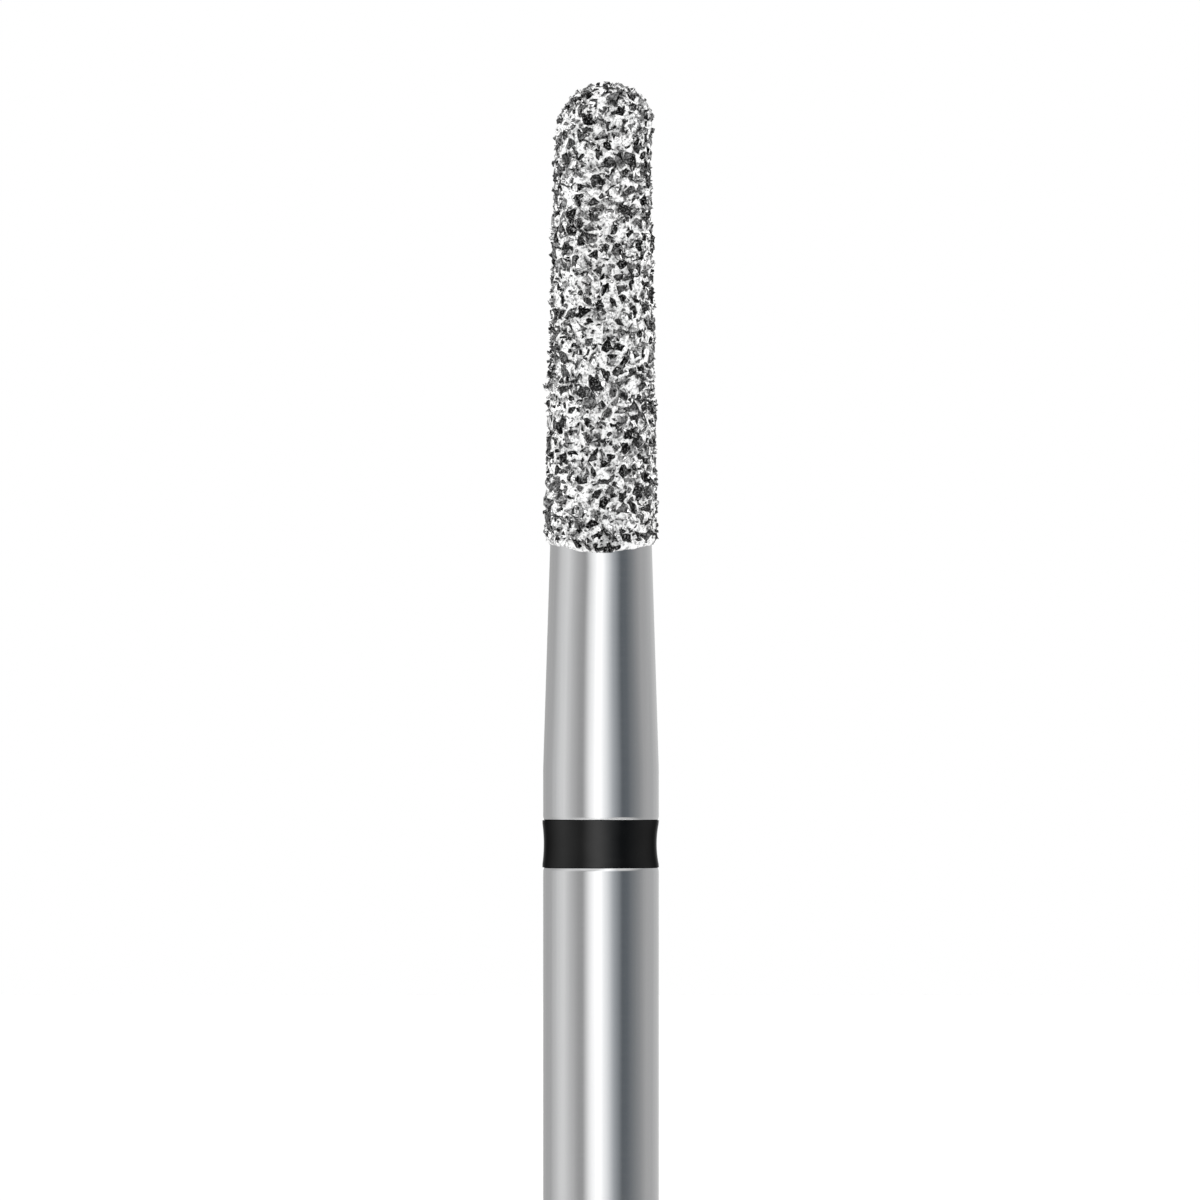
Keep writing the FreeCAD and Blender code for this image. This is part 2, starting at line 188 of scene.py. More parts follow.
def make_steel():
    """Shank, neck and head core in one piece, with the band's groove."""
    profile = rounded(
        [
            (0, 0, 0),
            (SHANK_RADIUS - END_CHAMFER, 0, BEVEL_ROUNDING),
            (SHANK_RADIUS, END_CHAMFER, EDGE_ROUNDING),
            (SHANK_RADIUS, GROOVE_LOW - LIP_WIDTH, EDGE_ROUNDING),
            (LIP_RADIUS, GROOVE_LOW, LIP_ROUNDING),
            (GROOVE_RADIUS, GROOVE_LOW, 0),
            (GROOVE_RADIUS, GROOVE_HIGH, 0),
            (LIP_RADIUS, GROOVE_HIGH, LIP_ROUNDING),
            (SHANK_RADIUS, GROOVE_HIGH + LIP_WIDTH, EDGE_ROUNDING),
            (SHANK_RADIUS, NECK_LOW, NECK_ROUNDING),
            (NECK_RADIUS, HEAD_LOW, 0),
            (NECK_RADIUS, NECK_TOP, 0),
            (CORE_RADIUS, NECK_TOP, 0),
        ]
    )
    profile = divided(profile + core_profile()[1:], LONGEST_RUN)
    rows = [ring_of_points(radius, height, AROUND) for radius, height in profile]
    return add_mesh("steel_body", *turned(rows), smooth_angle=35)


def by_side(mean, added, turn):
    """A value with something added on the side of +X and taken away on the other."""
    return mean + added * math.cos(turn)


def make_ring():
    """Lacquer in the groove. Its rims stand a little proud, and it has thinned more on one side."""
    width = GROOVE_HIGH - GROOVE_LOW
    outline = [(step / RING_STEPS, True) for step in range(RING_STEPS + 1)] + [(1.0, False), (0.0, False)]
    rows = []
    for share, outside in outline:
        height = GROOVE_LOW + share * width
        sag = 4 * share * (1 - share)
        drop = RIM_DROP * max(0.0, 1 - min(share, 1 - share) * width / RIM_WIDTH) ** 2
        row = []
        for i in range(AROUND):
            turn = 2 * math.pi * i / AROUND
            radius = GROOVE_RADIUS
            if outside:
                radius = SHANK_RADIUS + by_side(*RIM_RISE, turn) - by_side(*WAIST, turn) * sag - drop
            row.append((radius * math.cos(turn), radius * math.sin(turn), height))
        rows.append(row)
    return add_mesh("lacquer_ring", *turned(rows, closed=True), smooth_angle=40)


# The head's form

# The plating's lower edge hangs lower at the front and at the back by LIP_SWING, and higher at the sides.
# Each ripple has a height, a count round the axis and a phase.
LIP_SWING = 0.062
LIP_MEAN = -0.003
LIP_RIPPLES = [(0.007, 5, 0.7), (0.005, 11, 2.1), (0.003, 23, 0)]

# How far the plated layer has built up toward +X: over the head's length, and at the tip on top of that.
SETTLED_SIDE = 0.03
SETTLED_LENGTH = 6.4
SETTLED_TIP = 0.06
SETTLED_TIP_FROM = 20.6
SETTLED_TIP_OVER = 0.65

# On the tip's flat, the distance from the shoulder's centre counts as this.
LEAST_RADIUS = 1e-6


def section_point(distance):
    """Radius, height and outward slope on the nickel's skin, at a distance from its lower edge."""
    if distance < SIDE_LENGTH:
        radius = SKIN_FOOT - distance * math.sin(HEAD_TAPER)
        return radius, HEAD_LOW + distance * math.cos(HEAD_TAPER), HEAD_TAPER
    if distance < SIDE_LENGTH + SHOULDER_LENGTH:
        turn = HEAD_TAPER + (distance - SIDE_LENGTH) / SHOULDER_RADIUS
        radius = TIP_FLAT + SHOULDER_RADIUS * math.cos(turn)
        return radius, TIP_CENTRE + SHOULDER_RADIUS * math.sin(turn), turn
    radius = max(0.0, TIP_FLAT - (distance - SIDE_LENGTH - SHOULDER_LENGTH))
    return radius, TIP_CENTRE + SHOULDER_RADIUS, math.pi / 2


def outward_at(place):
    """The direction square to the nickel's skin that passes a place."""
    radius = math.hypot(place.x, place.y)
    level = Vector((place.x, place.y, 0)).normalized() if radius else Vector((1, 0, 0))
    lean = HEAD_TAPER
    if place.z > TIP_CENTRE:
        lean = math.atan2(place.z - TIP_CENTRE, max(LEAST_RADIUS, radius - TIP_FLAT))
    return level * math.cos(lean) + Vector((0, 0, 1)) * math.sin(lean)


def lip_height(turn):
    """Height of the plating's lower edge above the head's base."""
    ripple = sum(height * math.sin(count * turn + phase) for height, count, phase in LIP_RIPPLES)
    return LIP_SWING * math.cos(2 * turn) + LIP_MEAN + ripple


def settled(place):
    """Where a place of the plated layer lies once the layer has built up to one side."""
    share = min(1.0, max(0.0, (place.z - SETTLED_TIP_FROM) / SETTLED_TIP_OVER))
    along = SETTLED_SIDE * (place.z - HEAD_LOW) / SETTLED_LENGTH
    return place + Vector((along + SETTLED_TIP * share * share * (3 - 2 * share), 0, 0))


# Broken solids, as lists of flat outlines

# Corners closer than this are the same corner, and faces that lean less than this from each other are one.
SAME_PLACE = 1e-5
SAME_PLACE_DIGITS = 5
SAME_PLANE = 0.01


def hull_faces(points):
    """Outlines of the convex hull's faces."""
    shell = bmesh.new()
    for point in points:
        shell.verts.new(point)
    bmesh.ops.convex_hull(shell, input=shell.verts)
    bmesh.ops.dissolve_limit(shell, angle_limit=SAME_PLANE, verts=shell.verts, edges=shell.edges)
    faces = [[v.co.copy() for v in f.verts] for f in shell.faces]
    shell.free()
    return faces


def cut(faces, normal, limit):
    """The part of a convex solid that reaches no further than the limit along the normal."""
    kept = []
    rim = []
    for face in faces:
        outline = []
        for before, corner in zip(face[-1:] + face[:-1], face):
            past = before.dot(normal) - limit
            over = corner.dot(normal) - limit
            if (past > 0) != (over > 0):
                point = before + (corner - before) * (past / (past - over))
                outline.append(point)
                rim.append(point)
            if over <= 0:
                outline.append(corner)
        if len(outline) > 2:
            kept.append(outline)
    if len(rim) < 3:
        return kept
    middle = sum(rim, Vector()) / len(rim)
    across = (rim[0] - middle).normalized()
    beside = normal.cross(across)
    rim.sort(key=lambda p: math.atan2((p - middle).dot(beside), (p - middle).dot(across)))
    cap = [rim[0]]
    for point in rim[1:]:
        if (point - cap[-1]).length > SAME_PLACE:
            cap.append(point)
    if (cap[0] - cap[-1]).length < SAME_PLACE:
        cap.pop()
    if len(cap) > 2:
        kept.append(cap)
    return kept


def welded(faces):
    """The corners without repeats, and each face as their numbers. A face that is only a line is empty."""
    index = {}
    loops = []
    for face in faces:
        loop = []
        for point in face:
            key = tuple(round(c, SAME_PLACE_DIGITS) for c in point)
            number, _ = index.setdefault(key, (len(index), point))
            if not loop or loop[-1] != number:
                loop.append(number)
        if loop[0] == loop[-1]:
            loop.pop()
        loops.append(loop if len(loop) > 2 and len(set(loop)) == len(loop) else [])
    return [point for _, point in index.values()], loops


def is_closed(loops):
    """Whether each edge is passed once in each direction."""
    edges = [edge for loop in loops for edge in zip(loop, loop[1:] + loop[:1])]
    known = set(edges)
    return len(known) == len(edges) and all((end, start) in known for start, end in edges)


# The grit

# Most crystals are dark, some are grey and a few are pale. Fragments are paler. A facet's tone is its
# crystal's times one of the shares.
CRYSTAL_TONES = (0.002, 0.005, 0.012, 0.03, 0.055, 0.085, 0.12, 0.17, 0.24, 0.34)
FRAGMENT_TONES = (0.02, 0.05, 0.11, 0.18, 0.27, 0.39, 0.52, 0.68)
EDGE_TONES = CRYSTAL_TONES[:4]
CLUSTER_TONES = CRYSTAL_TONES[5:]
# The shares are partly random tone, partly painted shade (low shares) and painted glints and reflections
# (high).
TONE_GLINT_AND_SHADE_SHARES = (0.05, 0.3, 0.7, 1.4, 2.4)
PALEST_FACET = 0.8

# No crystal stands out further from the axis than this, but for one loose cluster at the side.
CROWN_RADIUS = 0.805
CLUSTER_RADIUS = 0.82

# Digits that tell the CAD crystals' corners apart, and the height up to which a corner is part of the foot.
CORNER_DIGITS = 4
FOOT_HEIGHT = 0.02
# A crystal is widened by a share and sunk into the nickel. Then chips are broken off, mostly where it stands
# out: their number, and their depth as a share of the crystal's extent.
WIDENED = 0.25
SUNK = 0.07
CHIPS = (5, 9)
CHIP_DEPTH = (0.07, 0.26)
CHIP_OUTWARD = 0.8
# Shards lie round a crystal's foot, at a share of the way out to its corners. Their size is a share of its
# width.
SHARDS = (1, 3)
SHARD_PLACE = 0.62
SHARD_RISE = (-0.01, 0.02)
SHARD_SIZE = (0.3, 0.5)

# A fragment's corners lie at shares of its size from its middle, and its root lies inward.
FRAGMENT_CORNERS = 7
FRAGMENT_REACH = (0.35, 0.6)
FRAGMENT_ROOT = 0.5
# The larger fragments are scattered first. Rise is a share of their size.
FRAGMENTS = 5000
LARGE_FRAGMENTS = 2600
LARGE_SIZE = (0.06, 0.14)
SMALL_SIZE = (0.025, 0.06)
FRAGMENT_RISE = (-0.05, 0.25)
FRAGMENTS_FROM = 0.02
# A fragment keeps this clear of a crystal: a share of the crystal's width and one of its own size.
CLEAR_OF_CRYSTAL = 0.3
CLEAR_OF_SELF = 0.25
# No fragment lies this near the plating's lower edge.
BARE_RIM = 0.07

# Crystals that the plating's lower edge runs round at the front. Each has the place across the front and the
# height above that edge of its two ends, or of its middle, and its thickness.
EDGE_PIECES = [
    (((-0.39, 0.21), (-0.285, 0.08)), 0.09),
    (((-0.2, 0.09), (-0.15, 0.05)), 0.1),
    (((-0.08, 0.1), (-0.06, 0.09)), 0.1),
    (((-0.05, 0.04), (0.05, 0.05)), 0.1),
    (((0.06, 0.045), (0.15, 0.045)), 0.1),
    (((0.09, 0.12), (0.13, 0.08)), 0.09),
    (((0.19, 0.045), (0.24, 0.05)), 0.07),
    (((0.2, 0.15),), 0.09),
    (((0.34, 0.12),), 0.08),
    (((0.5, 0.11),), 0.06),
    (((-0.55, 0.12),), 0.1),
]
EDGE_PIECES_OUT = 0.045

# Pieces of the loose cluster: distance from the axis, height and size.
CLUSTER = [(0.72, 17.28, 0.12), (0.76, 17.3, 0.1), (0.785, 17.26, 0.09), (0.805, 17.29, 0.08)]
CLUSTER_DIRECTION = Vector((-0.99, -0.14, 0)).normalized()


def random_direction():
    height = chance.uniform(-1, 1)
    turn = chance.uniform(0, 2 * math.pi)
    level = math.sqrt(1 - height * height)
    return Vector((level * math.cos(turn), level * math.sin(turn), height))


def chipped(faces, outward, chips):
    """Breaks flat chips off a solid, mostly where it stands out."""
    for _ in range(chips):
        normal = (random_direction() + outward * CHIP_OUTWARD).normalized()
        reaches = [p.dot(normal) for face in faces for p in face]
        far = max(reaches)
        near = min(reaches)
        faces = cut(faces, normal, far - (far - near) * chance.uniform(*CHIP_DEPTH))
    return faces


def fragment_points(place, outward, size):
    """Random corners of a small broken piece, and one that holds it in the nickel."""
    points = []
    for _ in range(FRAGMENT_CORNERS):
        points.append(place + random_direction() * size * chance.uniform(*FRAGMENT_REACH))
    return points + [place - outward * size * FRAGMENT_ROOT]


def fragment(place, outward, size):
    return hull_faces(fragment_points(place, outward, size))


# Random tone per facet, with painted glints on the pale facets and painted shade on the near-black ones.
def facet_tones_and_glints(faces, tones):
    tone = chance.choice(tones)
    return [min(PALEST_FACET, tone * chance.choice(TONE_GLINT_AND_SHADE_SHARES)) for _ in faces]


class Grit:
    """Gathers solids into one mesh, with a tone on each facet, and the crystals' seats with their widths."""

    def __init__(self):
        self.vertices = []
        self.faces = []
        self.tones = []
        self.seats = []

    def add(self, faces, tones, reach=CROWN_RADIUS):
        """Adds a solid with a tone for each face, held within a reach of the axis."""
        points, loops = welded(faces)
        if not is_closed(loops):
            points, loops = welded(hull_faces(points))
            tones = tones * len(loops)
        first = len(self.vertices)
        for point in points:
            place = settled(point)
            inward = min(1.0, reach / max(reach, math.hypot(place.x, place.y)))
            self.vertices.append((place.x * inward, place.y * inward, place.z))
        for loop, tone in zip(loops, tones):
            if loop:
                self.faces.append([first + number for number in loop])
                self.tones.append(tone)


def read_crystals():
    """The corners of each loose crystal of the CAD node, in millimetres."""
    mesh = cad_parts["diamond_grit"].data
    corners = {}
    index_of = []
    for vertex in mesh.vertices:
        key = tuple(round(c / MM, CORNER_DIGITS) for c in vertex.co)
        index_of.append(corners.setdefault(key, len(corners)))
    places = [Vector(key) for key in corners]
    parent = list(range(len(places)))

    def top(i):
        while parent[i] != i:
            parent[i] = parent[parent[i]]
            i = parent[i]
        return i

    for polygon in mesh.polygons:
        first = top(index_of[polygon.vertices[0]])
        for v in polygon.vertices[1:]:
            parent[top(index_of[v])] = first
    groups = {}
    for i, place in enumerate(places):
        groups.setdefault(top(i), []).append(place)
    return sorted(groups.values(), key=lambda g: tuple(g[0]))


def add_crystal(grit, corners):
    """A crystal of the CAD node with its faces broken, and a few shards round its foot."""
    centre = sum(corners, Vector()) / len(corners)
    outward = outward_at(centre)
    heights = [(p - centre).dot(outward) for p in corners]
    foot = min(heights)
    feet = [p for p, h in zip(corners, heights) if h < foot + FOOT_HEIGHT]
    width = max((a - b).length for a in feet for b in feet)
    sunk = [p - outward * SUNK for p in feet]
    wide = [p + (p - centre - outward * (p - centre).dot(outward)) * WIDENED for p in corners]
    faces = chipped(hull_faces(wide + sunk), outward, chance.randint(*CHIPS))
    grit.add(faces, facet_tones_and_glints(faces, CRYSTAL_TONES))
    for _ in range(chance.randint(*SHARDS)):
        place = chance.choice(feet) * SHARD_PLACE + centre * (1 - SHARD_PLACE)
        place += outward * chance.uniform(*SHARD_RISE)
        faces = fragment(place, outward, width * chance.uniform(*SHARD_SIZE))
        grit.add(faces, facet_tones_and_glints(faces, CRYSTAL_TONES))
    grit.seats.append((centre + outward * foot, width))


def add_fragments(grit):
    """Small broken pieces all over the nickel, clear of the crystals' middles."""
    tree = kdtree.KDTree(len(grit.seats))
    for i, (place, _) in enumerate(grit.seats):
        tree.insert(place, i)
    tree.balance()
    made = 0
    while made < FRAGMENTS:
        radius, height, lean = section_point(chance.uniform(FRAGMENTS_FROM, SECTION_LENGTH))
        if chance.uniform(0, CORE_RADIUS + BOND_THICKNESS) > radius:
            continue
        turn = chance.uniform(0, 2 * math.pi)
        level = Vector((math.cos(turn), math.sin(turn), 0))
        outward = level * math.cos(lean) + Vector((0, 0, 1)) * math.sin(lean)
        place = level * radius + Vector((0, 0, height))
        _, index, distance = tree.find(place)
        size = chance.uniform(*(LARGE_SIZE if made < LARGE_FRAGMENTS else SMALL_SIZE))
        if distance < grit.seats[index][1] * CLEAR_OF_CRYSTAL + size * CLEAR_OF_SELF:
            continue
        faces = fragment(place + outward * size * chance.uniform(*FRAGMENT_RISE), outward, size)
        tones = facet_tones_and_glints(faces, FRAGMENT_TONES)
        made += 1
        if height > HEAD_LOW + lip_height(turn) + BARE_RIM + size / 2:
            grit.add(faces, tones)


def add_edge_pieces(grit):
    """Crystals at the plating's lower edge, and the loose cluster that stands out at the side."""
    for ends, size in EDGE_PIECES:
        points = []
        for across, rise in ends:
            turn = -math.acos(across / NECK_RADIUS)
            level = Vector((math.cos(turn), math.sin(turn), 0))
            height = HEAD_LOW + lip_height(turn) + rise
            place = level * (NECK_RADIUS + EDGE_PIECES_OUT) + Vector((0, 0, height))
            points += fragment_points(place, level, size)
        faces = hull_faces(points)
        grit.add(faces, facet_tones_and_glints(faces, EDGE_TONES))
    for out, height, size in CLUSTER:
        place = CLUSTER_DIRECTION * out + Vector((0, 0, height))
        faces = fragment(place, CLUSTER_DIRECTION, size)
        grit.add(faces, facet_tones_and_glints(faces, CLUSTER_TONES), CLUSTER_RADIUS)


def make_grit():
    grit = Grit()
    for corners in read_crystals():
        add_crystal(grit, corners)
    add_fragments(grit)
    add_edge_pieces(grit)
    return grit


# The nickel

SKIN_STEPS = 288
# The skin stops just short of the axis, where one point closes it.
SKIN_END = 0.999
# The lower edge's waves fade out over this length.
LIP_FADE = 0.5
# The nickel climbs each crystal by CLIMB within a share of its width, and falls off beyond that.
CLIMB = 0.026
CLIMB_WIDTH = 0.45
CLIMB_FALL = 0.018
CLIMB_REACH = 0.25
# Its surface is wavy: number of waves, their lengths and how far the sum of them strays. All of it lies
# lower by SKIN_INSET, so that its mean stays near the solid's surface.
WAVES = 60
WAVE_LENGTHS = (0.05, 0.22)
WAVE_HEIGHT = 0.007
WAVE_SEED = 11
MOST_PHASE = 6.3
SKIN_INSET = 0.014
# The lower edge is rounded down by EDGE_DROP over this length.
EDGE_LENGTH = 0.06
EDGE_DROP = 0.03
# Gaps to the steel: under the plating, and at the rim that shows.
NECK_GAP = 0.002
RIM_GAP = 0.004


def smooth_skin(turns, lip):
    """Places on the even skin and the directions outward, as rows from the lower edge to the axis."""
    rows = np.zeros((SKIN_STEPS, SKIN_STEPS, 3))
    normals = np.zeros((SKIN_STEPS, SKIN_STEPS, 3))
    for k in range(SKIN_STEPS):
        share = k / (SKIN_STEPS - 1)
        radius, height, lean = section_point(SECTION_LENGTH * share * SKIN_END)
        fade = max(0.0, 1 - share * SECTION_LENGTH / LIP_FADE)
        rows[k, :, 0] = radius * np.cos(turns)
        rows[k, :, 1] = radius * np.sin(turns)
        rows[k, :, 2] = height + lip * fade
        normals[k, :, 0] = math.cos(lean) * np.cos(turns)
        normals[k, :, 1] = math.cos(lean) * np.sin(turns)
        normals[k, :, 2] = math.sin(lean)
    return rows, normals


def climb_at(places, seats):
    """How far the nickel climbs at each place, next to the crystals."""
    rise = np.zeros(len(places))
    for seat, width in seats:
        offset = places - np.array(seat)
        near = np.nonzero((np.abs(offset) < CLIMB_REACH).all(axis=1))[0]
        if len(near) == 0:
            continue
        distance = np.sqrt((offset[near] ** 2).sum(axis=1))
        climb = CLIMB * np.exp(-np.maximum(distance - width * CLIMB_WIDTH, 0) / CLIMB_FALL)
        rise[near] = np.maximum(rise[near], climb)
    return rise


def waves_at(places):
    """Height of the surface's waves at each place."""
    waves = np.zeros(len(places))
    draw = np.random.default_rng(WAVE_SEED)
    for _ in range(WAVES):
        direction = draw.normal(size=3)
        direction /= np.linalg.norm(direction)
        length = draw.uniform(*WAVE_LENGTHS)
        waves += np.sin(places @ direction * (2 * math.pi / length) + draw.uniform(0, MOST_PHASE)) * length
    return waves * (WAVE_HEIGHT / waves.std())


def make_skin(seats):
    """Nickel round the head core: it climbs each crystal a little, and its lower edge is uneven."""
    turns = np.arange(SKIN_STEPS) * (2 * math.pi / SKIN_STEPS)
    lip = np.array([lip_height(t) for t in turns])
    rows, normals = smooth_skin(turns, lip)
    places = rows.reshape(-1, 3)
    rise = (climb_at(places, seats) - SKIN_INSET + waves_at(places)).reshape(SKIN_STEPS, SKIN_STEPS)
    edge = np.minimum(1, np.arange(SKIN_STEPS) * (SECTION_LENGTH / (SKIN_STEPS - 1)) / EDGE_LENGTH)
    rows += normals * (rise * edge[:, None])[:, :, None]
    drop = EDGE_DROP * (1 - edge) ** 2
    rows -= normals * drop[:, None, None]

    inner = [ring_of_points(radius, height, SKIN_STEPS) for radius, height in core_profile()[1:-1]]
    rim = NECK_RADIUS + RIM_GAP
    foot = [
        ring_of_points(CORE_RADIUS, NECK_TOP + NECK_GAP, SKIN_STEPS),
        ring_of_points(NECK_RADIUS + NECK_GAP, NECK_TOP + NECK_GAP, SKIN_STEPS),
        [(rim * math.cos(t), rim * math.sin(t), HEAD_LOW + height) for t, height in zip(turns, lip)],
    ]
    outer = [[tuple(settled(Vector(p))) for p in row] for row in rows]
    top = tuple(settled(Vector((0, 0, TIP_CENTRE + SHOULDER_RADIUS))))
    surface = [[(0, 0, CORE_TOP)]] + inner[::-1] + foot + outer + [[top]]
    return add_mesh("nickel_skin", *turned(surface), smooth_angle=70)


# Materials

class Nodes:
    """A node tree with short ways to add and join nodes. A result is passed on as its output socket."""

    def __init__(self, tree, shader):
        self.tree = tree
        self.shader = tree.nodes[shader]

    def set(self, node, **settings):
        """Sets inputs and attributes of a node. An underscore stands for the space in an input's name."""
        for name, value in settings.items():
            socket = name.replace("_", " ")
            if socket in node.inputs:
                node.inputs[socket].default_value = value
            else:
                setattr(node, name, value)

    def add(self, kind, **settings):
        node = self.tree.nodes.new(kind)
        self.set(node, **settings)
        return node

    def join(self, source, node, socket):
        self.tree.links.new(source, node.inputs[socket])

    def compute(self, operation, first, second):
        """Arithmetic on two values, each a socket or a number."""
        node = self.add("ShaderNodeMath", operation=operation)
        for i, value in enumerate((first, second)):
            if isinstance(value, bpy.types.NodeSocket):
                self.join(value, node, i)
            else:
                node.inputs[i].default_value = value
        return node.outputs["Value"]

    def remap(self, source, before, after=(0, 1)):
        """A value that runs from after's start to its end while the source runs through before."""
        node = self.add("ShaderNodeMapRange")
        self.set(node, From_Min=before[0], From_Max=before[1], To_Min=after[0], To_Max=after[1])
        self.join(source, node, "Value")
        return node.outputs["Result"]

    def ramp(self, source, stops, interpolation="LINEAR"):
        """A colour or level by the source's value. stops is a list of (value, colour or level)."""
        node = self.add("ShaderNodeValToRGB")
        node.color_ramp.interpolation = interpolation
        elements = node.color_ramp.elements
        while len(elements) < len(stops):
            elements.new(0.5)
        for element, (place, value) in zip(elements, stops):
            element.position = place
            element.color = (*value, 1) if isinstance(value, tuple) else (value, value, value, 1)
        self.join(source, node, "Fac")
        return node.outputs["Color"]

    def mix(self, blend, first, second):
        """Two colours blended in full."""
        node = self.add("ShaderNodeMix", data_type="RGBA", blend_type=blend, Factor=1.0)
        self.join(first, node, "A")
        self.join(second, node, "B")
        return node.outputs["Result"]

    def noise(self, scale, stretch=(1, 1, 1), detail=3.0):
        """Noise in the object's own coordinates, with a scale for each axis."""
        mapping = self.add("ShaderNodeMapping", Scale=stretch)
        self.join(self.add("ShaderNodeTexCoord").outputs["Object"], mapping, "Vector")
        texture = self.add("ShaderNodeTexNoise", Scale=scale, Detail=detail)
        self.join(mapping.outputs["Vector"], texture, "Vector")
        return texture.outputs["Fac"]

    def vary(self, socket, noise, first, last):
        """An input of the shader follows a noise from first to last. Each is (noise, colour or level)."""
        self.join(self.ramp(noise, [first, last]), self.shader, socket)

    def bump(self, noise, strength, distance):
        node = self.add("ShaderNodeBump", Strength=strength, Distance=distance)
        self.join(noise, node, "Height")
        self.join(node.outputs["Normal"], self.shader, "Normal")


def new_material(name):
    material = bpy.data.materials.new(name)
    material.use_nodes = True
    return material, Nodes(material.node_tree, "Principled BSDF")


def steel_material():
    """Ground steel: faint streaks along the axis and fine grinding marks round it."""
    material, nodes = new_material("ground_steel")
    nodes.set(nodes.shader, Metallic=1.0)
    streaks = nodes.noise(9000, (1, 1, 0.01))
    grind = nodes.noise(1500, (0.15, 0.15, 12), detail=2.0)
    nodes.vary("Base Color", streaks, (0.3, (0.575, 0.58, 0.585)), (0.7, (0.625, 0.625, 0.63)))
    nodes.vary("Roughness", grind, (0.3, 0.11), (0.7, 0.15))
    nodes.bump(grind, 0.15, 0.000001)
    return material


def lacquer_material():
    """Black lacquer, as a dark metal whose edge tint keeps its edges dark."""
    material, nodes = new_material("black_lacquer")
    nodes.set(nodes.shader, Metallic=1.0, Specular_Tint=(0.42, 0.42, 0.42, 1))
    cloud = nodes.noise(2500)
    nodes.vary("Base Color", cloud, (0.3, 0.028), (0.7, 0.033))
    nodes.vary("Roughness", cloud, (0.3, 0.15), (0.7, 0.22))
    nodes.bump(cloud, 0.1, 0.000001)
    return material


def nickel_material():
    """Rough, nearly white nickel with dark specks."""
    material, nodes = new_material("plated_nickel")
    nodes.set(nodes.shader, Metallic=0.15)
    grain = nodes.noise(26000)
    nodes.vary("Base Color", grain, (0.38, (0.4, 0.4, 0.4)), (0.52, (0.98, 0.98, 0.975)))
    nodes.vary("Roughness", grain, (0.3, 0.42), (0.7, 0.3))
    nodes.bump(grain, 0.5, 0.000008)
    return material


def diamond_material():
    """Each facet's tone, with painted glints and painted shade in it, mottled, with pale dust on it. A low
    IOR keeps the black crystals black.
    """
    material, nodes = new_material("diamond_grit")
    nodes.set(nodes.shader, IOR=1.1)
    tone = nodes.add("ShaderNodeAttribute", attribute_name="tone")
    mottle = nodes.noise(30000)
    spread = nodes.ramp(mottle, [(0.36, 0.2), (0.64, 2.2)])
    dust = nodes.ramp(nodes.noise(42000, detail=2.0), [(0.54, 0.0), (0.66, 0.2)])
    mottled = nodes.mix("MULTIPLY", tone.outputs["Color"], spread)
    nodes.join(nodes.mix("ADD", mottled, dust), nodes.shader, "Base Color")
    nodes.vary("Roughness", mottle, (0.3, 0.15), (0.7, 0.35))
    return material


# Pieces

def dress(piece, material, node):
    """Gives a piece its material, hangs it on the root body and hides the CAD node that it takes the place
    of.
    """
    piece.data.materials.append(material)
    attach(piece, "root")
    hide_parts(node)


dress(make_steel(), steel_material(), "steel_blank")
dress(make_ring(), lacquer_material(), "colour_ring")
grit = make_grit()
crystals = add_mesh("diamond_crystals", grit.vertices, grit.faces)
assert len(crystals.data.polygons) == len(grit.tones)
tones = crystals.data.attributes.new("tone", "FLOAT_COLOR", "FACE")
tones.data.foreach_set("color", [c for t in grit.tones for c in (t, t, t, 1.0)])
dress(crystals, diamond_material(), "diamond_grit")
dress(make_skin(grit.seats), nickel_material(), "nickel_bond")


# Studio

FLOOR_REACH = 600
# Light that the white background gives the object, where 1 is what the camera and reflections see.
WORLD_LIGHT = 0.6
# Name, direction, level and width in degrees of each lamp.
LAMPS = [
    ("key", (-100, -20, 60), 0.62, 40),
    ("fill", (100, -20, 50), 0.54, 60),
    ("rear", (10, 100, 80), 0.25, 60),
]

# The light cards stand round the object and show only in reflections.
TENT_RADIUS = 20
TENT_HEIGHT = 45
TENT_SEGMENTS = 96
# The cards are upright to this height. Above it they lean round the object by an angle at their top.
CARDS_UPRIGHT = 15
CARDS_LEAN = 1.6
# Brightness of the cards, by direction in degrees from the camera's side, right positive.
CARDS = [
    (-180, 1.3), (-173, 1.3), (-168, 0.52), (-118, 0.58), (-90, 0.95), (-78, 1.0), (-60, 0.72), (-45, 0.5),
    (-36, 0.46), (-22, 1.3), (-8, 1.8), (0, 1.7), (14, 1.05), (24, 0.6), (42, 0.17), (54, 0.19), (97, 0.55),
    (150, 0.7), (168, 0.7), (173, 1.3), (180, 1.3),
]
# The cards are no darker than these levels at these heights. Near the floor, that lets the shank's
# reflection of the floor fade in.
CARDS_GLOW = [(0, 0.95), (7, 0.0), (15, 0.0), (22, 1.1), (45, 1.1)]
# The dark card is a little blue: how much, in which direction, and how far to each side.
COOL_TINT = 0.12
COOL_DIRECTION = 48
COOL_REACH = 40
# The ramps hold the levels over this, because their colours stop at 1.
CARDS_STRENGTH = 2

# The photograph's frame is this wide at the bur's axis.
FRAME_WIDTH = 16.57
FRAME_CENTRE_X = -0.0138
FRAME_CENTRE_Z = 14.34
LENS = 800
SENSOR = 36


def card_stop(degrees, level):
    """A card's place in the ramp round the object, and its colour."""
    cool = COOL_TINT * max(0.0, 1 - abs(degrees - COOL_DIRECTION) / COOL_REACH)
    share = level / CARDS_STRENGTH
    return (degrees + 180) / 360, (share * (1 - cool), share, share * (1 + cool))


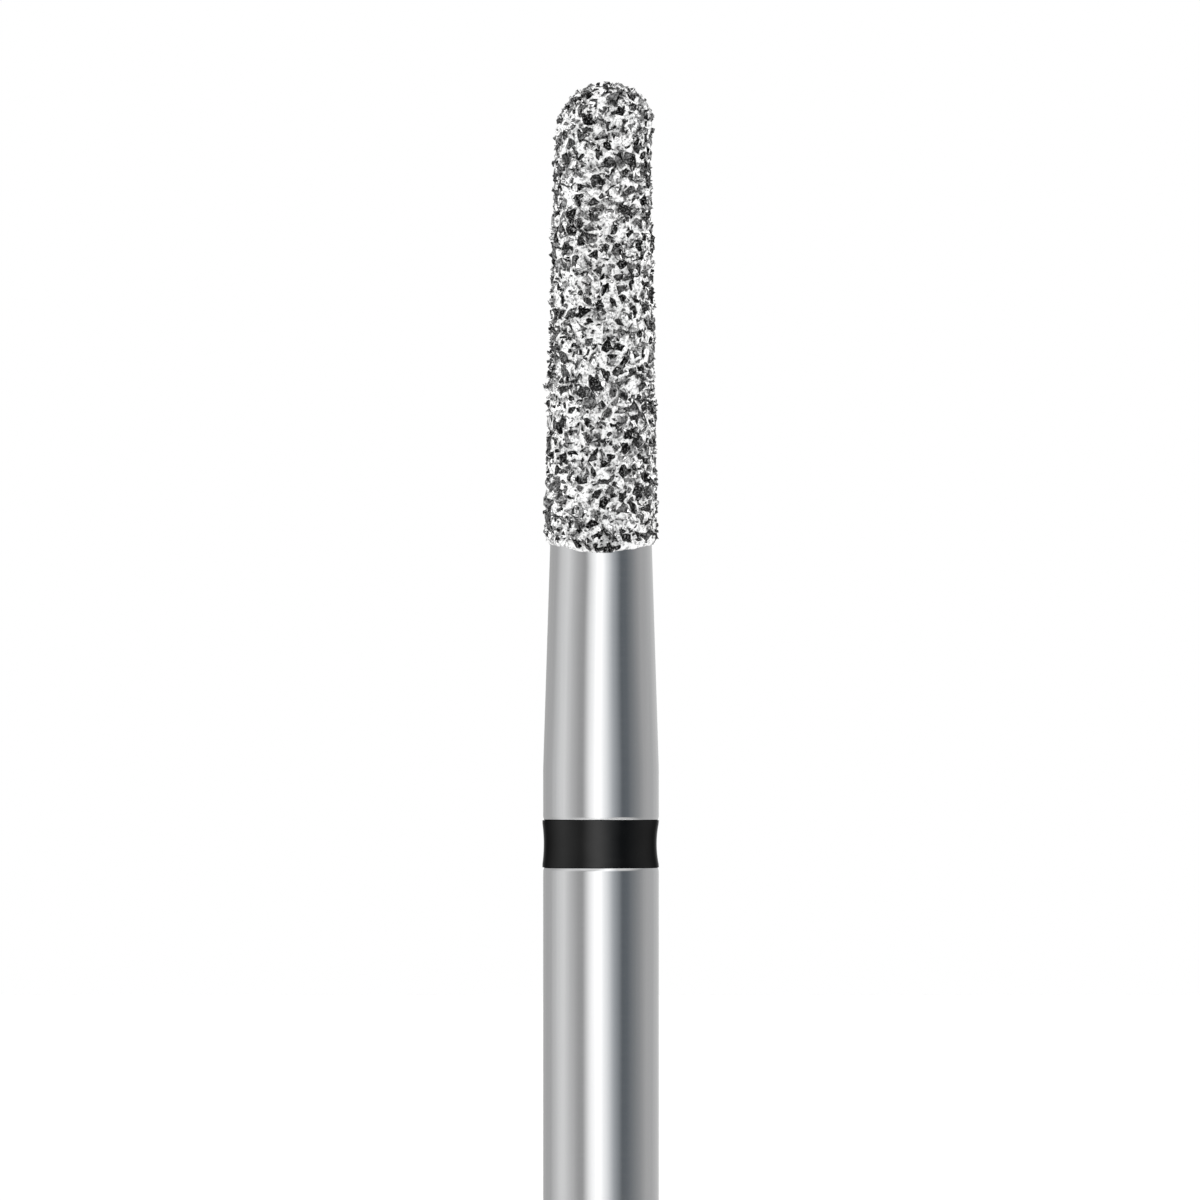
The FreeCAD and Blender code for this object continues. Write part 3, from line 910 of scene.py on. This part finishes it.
def make_tent():
    rows = [ring_of_points(TENT_RADIUS, height, TENT_SEGMENTS) for height in (0, TENT_HEIGHT)]
    tent = add_mesh("light_cards", *turned(rows))
    material, nodes = new_material("light_cards")
    axes = nodes.add("ShaderNodeSeparateXYZ")
    nodes.join(nodes.add("ShaderNodeNewGeometry").outputs["Position"], axes, "Vector")
    x, y, z = axes.outputs
    turn = nodes.compute("ARCTAN2", x, nodes.compute("MULTIPLY", y, -1))
    lean = nodes.remap(z, (CARDS_UPRIGHT * MM, TENT_HEIGHT * MM), (0, -CARDS_LEAN))
    share = nodes.remap(nodes.compute("ADD", turn, lean), (-math.pi, math.pi))
    cards = nodes.ramp(share, [card_stop(*card) for card in CARDS])
    glow_stops = [(height / TENT_HEIGHT, level / CARDS_STRENGTH) for height, level in CARDS_GLOW]
    glow = nodes.ramp(nodes.remap(z, (0, TENT_HEIGHT * MM)), glow_stops, "EASE")
    light = nodes.add("ShaderNodeEmission", Strength=CARDS_STRENGTH)
    nodes.join(nodes.mix("LIGHTEN", cards, glow), light, "Color")
    nodes.join(light.outputs["Emission"], nodes.tree.nodes["Material Output"], "Surface")
    nodes.tree.nodes.remove(nodes.shader)
    tent.data.materials.append(material)
    tent.visible_camera = False
    tent.visible_diffuse = False
    tent.visible_shadow = False


def make_floor():
    corners = [(-1, -1), (1, -1), (1, 1), (-1, 1)]
    floor = add_mesh("floor", [(x * FLOOR_REACH, y * FLOOR_REACH, 0) for x, y in corners], [(0, 1, 2, 3)])
    material, nodes = new_material("floor")
    nodes.set(nodes.shader, Base_Color=(0.8, 0.8, 0.8, 1), Roughness=0.9, Specular_IOR_Level=0.1)
    floor.data.materials.append(material)


def make_world():
    world = bpy.data.worlds.new("studio")
    scene.world = world
    world.use_nodes = True
    nodes = Nodes(world.node_tree, "Background")
    path = nodes.add("ShaderNodeLightPath").outputs
    seen = nodes.compute("MAXIMUM", path["Is Camera Ray"], path["Is Glossy Ray"])
    seen = nodes.compute("MAXIMUM", seen, path["Is Transmission Ray"])
    nodes.set(nodes.shader, Color=(1, 1, 1, 1))
    nodes.join(nodes.remap(seen, (0, 1), (WORLD_LIGHT, 1)), nodes.shader, "Strength")


def add_lamp(name, place, level, spread):
    """A broad, even light from a direction. A surface that faces it gains the level."""
    lamp = bpy.data.lights.new(name, "SUN")
    lamp.angle = math.radians(spread)
    lamp.energy = level * math.pi
    made = bpy.data.objects.new(name, lamp)
    scene.collection.objects.link(made)
    made.location = Vector(place) * MM
    made.rotation_euler = Vector(place).to_track_quat("Z", "Y").to_euler()
    made.visible_glossy = False


def make_camera():
    camera = bpy.data.cameras.new("camera")
    camera.lens = LENS
    camera.sensor_width = SENSOR
    camera.clip_start = 0.005
    camera.clip_end = 5
    made = bpy.data.objects.new("camera", camera)
    scene.collection.objects.link(made)
    distance = FRAME_WIDTH * LENS / SENSOR
    made.location = Vector((FRAME_CENTRE_X, -distance, FRAME_CENTRE_Z)) * MM
    made.rotation_euler = (math.pi / 2, 0, 0)
    scene.camera = made


make_tent()
make_floor()
make_world()
for lamp in LAMPS:
    add_lamp(*lamp)
make_camera()
scene.view_settings.view_transform = "Standard"
